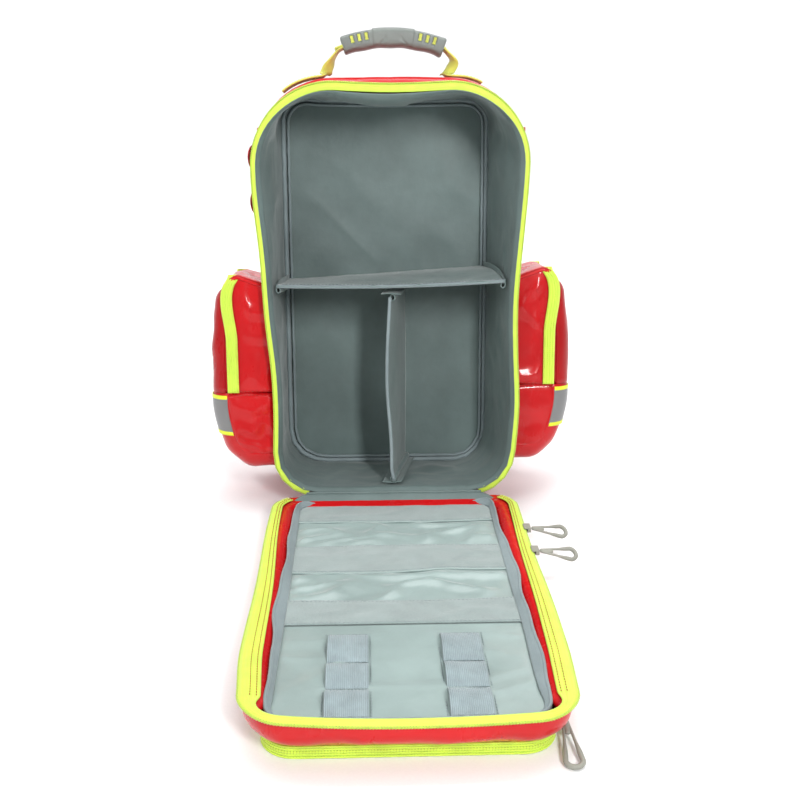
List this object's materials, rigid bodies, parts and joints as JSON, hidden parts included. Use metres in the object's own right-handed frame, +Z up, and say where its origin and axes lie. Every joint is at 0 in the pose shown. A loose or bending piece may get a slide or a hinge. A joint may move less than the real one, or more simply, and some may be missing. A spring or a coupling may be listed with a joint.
{
  "type": "trauma backpack",
  "caption": "Clamshell emergency backpack standing open, with dividers, side pockets, organiser door, zips, carry handle and shoulder straps",
  "frame": {"origin": "middle of the open pack's footprint, on the ground", "axes": "+X across the pack, +Y from the door towards the carrying harness, +Z up"},
  "size_m": [0.455, 0.7751, 0.5779],
  "materials": {
    "pvc_red": "glossy PVC-coated tarpaulin",
    "pvc_dark_red": "glossy PVC-coated tarpaulin",
    "red_webbing": "woven webbing",
    "lime_zip": "woven zip tape",
    "yellow_webbing": "woven webbing",
    "grip_rubber": "satin moulded rubber",
    "lining_grey": "coated nylon lining",
    "loop_grey": "loop pile tape",
    "organiser_silver": "sheer coated nylon",
    "elastic_grey": "ribbed elastic",
    "black_webbing": "woven fabric and webbing",
    "black_guard": "moulded rubberised base",
    "black_plastic": "matt moulded plastic",
    "reflective": "retroreflective tape",
    "pull_grey": "matt moulded plastic and cord"
  },
  "bodies": {
    "compartment": {"back_panel": "pvc_red", "back_stiffener": "black_plastic", "left_wall": "pvc_red", "right_wall": "pvc_red", "top_wall": "pvc_red", "base_wall": "pvc_dark_red", "base_guard": "black_guard", "body_lining": "lining_grey", "back_lining": "lining_grey", "body_zip_tape": "lime_zip", "body_zip_coil": "lime_zip", "left_loop_strip": "red_webbing", "right_loop_strip": "red_webbing", "handle_anchors": "yellow_webbing", "back_pad": "black_webbing", "left_shoulder_strap": "black_webbing", "right_shoulder_strap": "black_webbing", "strap_webbing": "black_webbing", "ladder_locks": "black_plastic", "sternum_webbing": "black_webbing", "sternum_socket": "black_plastic", "sternum_plug": "black_plastic", "left_pocket_shell": "pvc_red", "right_pocket_shell": "pvc_red", "left_pocket_tape": "lime_zip", "right_pocket_tape": "lime_zip", "left_reflector": "reflective", "right_reflector": "reflective", "hinge_web": "lining_grey"},
    "door": {"door_gusset": "pvc_red", "door_zip_tape": "lime_zip", "door_zip_coil": "lime_zip", "door_border": "pvc_red", "door_board": "lining_grey", "door_hem": "lining_grey", "loop_band_near": "loop_grey", "loop_band_mid": "loop_grey", "loop_band_far": "loop_grey", "organiser_pockets": "organiser_silver", "elastic_loops": "elastic_grey", "front_pocket_tape": "lime_zip"},
    "front_lid": {"front_pocket_lid": "pvc_red"},
    "handle": {"handle_webbing": "yellow_webbing", "handle_grip": "grip_rubber"},
    "shelf": {"shelf_divider": "lining_grey", "shelf_hook_tapes": "loop_grey"},
    "divider": {"centre_divider": "lining_grey", "divider_hook_tapes": "loop_grey"},
    "left_flap": {"left_pocket_flap": "pvc_dark_red"},
    "right_flap": {"right_pocket_flap": "pvc_dark_red"},
    "left_side_slider": {"left_pocket_slider": "pull_grey"},
    "right_side_slider": {"right_pocket_slider": "pull_grey"},
    "left_side_pull": {"left_pocket_pull": "pull_grey"},
    "right_side_pull": {"right_pocket_pull": "pull_grey"},
    "lower_slider": {"main_slider_lower": "pull_grey"},
    "upper_slider": {"main_slider_upper": "pull_grey"},
    "front_pocket_slider": {"front_slider": "pull_grey"},
    "lower_pull": {"main_pull_lower": "pull_grey"},
    "upper_pull": {"main_pull_upper": "pull_grey"},
    "front_pocket_pull": {"front_pull": "pull_grey"}
  },
  "joints": [
    {"name": "door_hinge", "type": "hinge", "parent": "compartment", "child": "door", "pos_m": [0, 0.12025, 0.02569], "axis": [1, 0, 0], "range_deg": [-95.4, 0]},
    {"name": "front_pocket_lid_hinge", "type": "hinge", "parent": "door", "child": "front_lid", "pos_m": [0, 0.08675, 0], "axis": [-1, 0, 0], "range_deg": [-80, 0]},
    {"name": "handle_swing", "type": "hinge", "parent": "compartment", "child": "handle", "pos_m": [0, 0.24919, 0.51198], "axis": [1, 0, 0], "range_deg": [-60, 60]},
    {"name": "shelf_slide", "type": "slide", "parent": "compartment", "child": "shelf", "axis": [0, -0.9903, 0.1392], "range_m": [0, 0.16]},
    {"name": "centre_divider_slide", "type": "slide", "parent": "compartment", "child": "divider", "axis": [0, -0.9903, 0.1392], "range_m": [0, 0.16]},
    {"name": "right_pocket_flap_hinge", "type": "hinge", "parent": "compartment", "child": "right_flap", "pos_m": [0.226, 0.21167, 0.14442], "axis": [0, 0.9903, -0.1392], "range_deg": [0, 100]},
    {"name": "left_pocket_flap_hinge", "type": "hinge", "parent": "compartment", "child": "left_flap", "pos_m": [-0.226, 0.21167, 0.14442], "axis": [0, -0.9903, 0.1392], "range_deg": [0, 100]},
    {"name": "right_pocket_slider_travel", "type": "slide", "parent": "compartment", "child": "right_side_slider", "axis": [0, 0.1392, 0.9903], "range_m": [0, 0.08]},
    {"name": "right_pocket_pull_swing", "type": "hinge", "parent": "right_side_slider", "child": "right_side_pull", "pos_m": [0.1995, 0.27844, 0.15392], "axis": [1, 0, 0], "range_deg": [0, 120]},
    {"name": "left_pocket_slider_travel", "type": "slide", "parent": "compartment", "child": "left_side_slider", "axis": [0, 0.1392, 0.9903], "range_m": [0, 0.08]},
    {"name": "left_pocket_pull_swing", "type": "hinge", "parent": "left_side_slider", "child": "left_side_pull", "pos_m": [-0.1995, 0.27844, 0.15392], "axis": [1, 0, 0], "range_deg": [0, 120]},
    {"name": "lower_slider_travel", "type": "slide", "parent": "door", "child": "lower_slider", "axis": [0, -0.999, 0.0454], "range_m": [-0.06, 0.01]},
    {"name": "upper_slider_travel", "type": "slide", "parent": "door", "child": "upper_slider", "axis": [0, -0.999, 0.0454], "range_m": [-0.01, 0.22]},
    {"name": "lower_pull_swing", "type": "hinge", "parent": "lower_slider", "child": "lower_pull", "pos_m": [0.1565, 0.00822, 0.02757], "axis": [0, -0.999, 0.0454], "range_deg": [-30, 10]},
    {"name": "upper_pull_swing", "type": "hinge", "parent": "upper_slider", "child": "upper_pull", "pos_m": [0.1565, -0.05371, 0.03038], "axis": [0, -0.999, 0.0454], "range_deg": [-30, 10]},
    {"name": "front_slider_travel", "type": "slide", "parent": "door", "child": "front_pocket_slider", "axis": [0, 1, 0], "range_m": [0, 0.35]},
    {"name": "front_pull_swing", "type": "hinge", "parent": "front_pocket_slider", "child": "front_pocket_pull", "pos_m": [0.1358, -0.32775, 0.011], "axis": [0, 0, 1], "range_deg": [0, 85]}
  ]
}
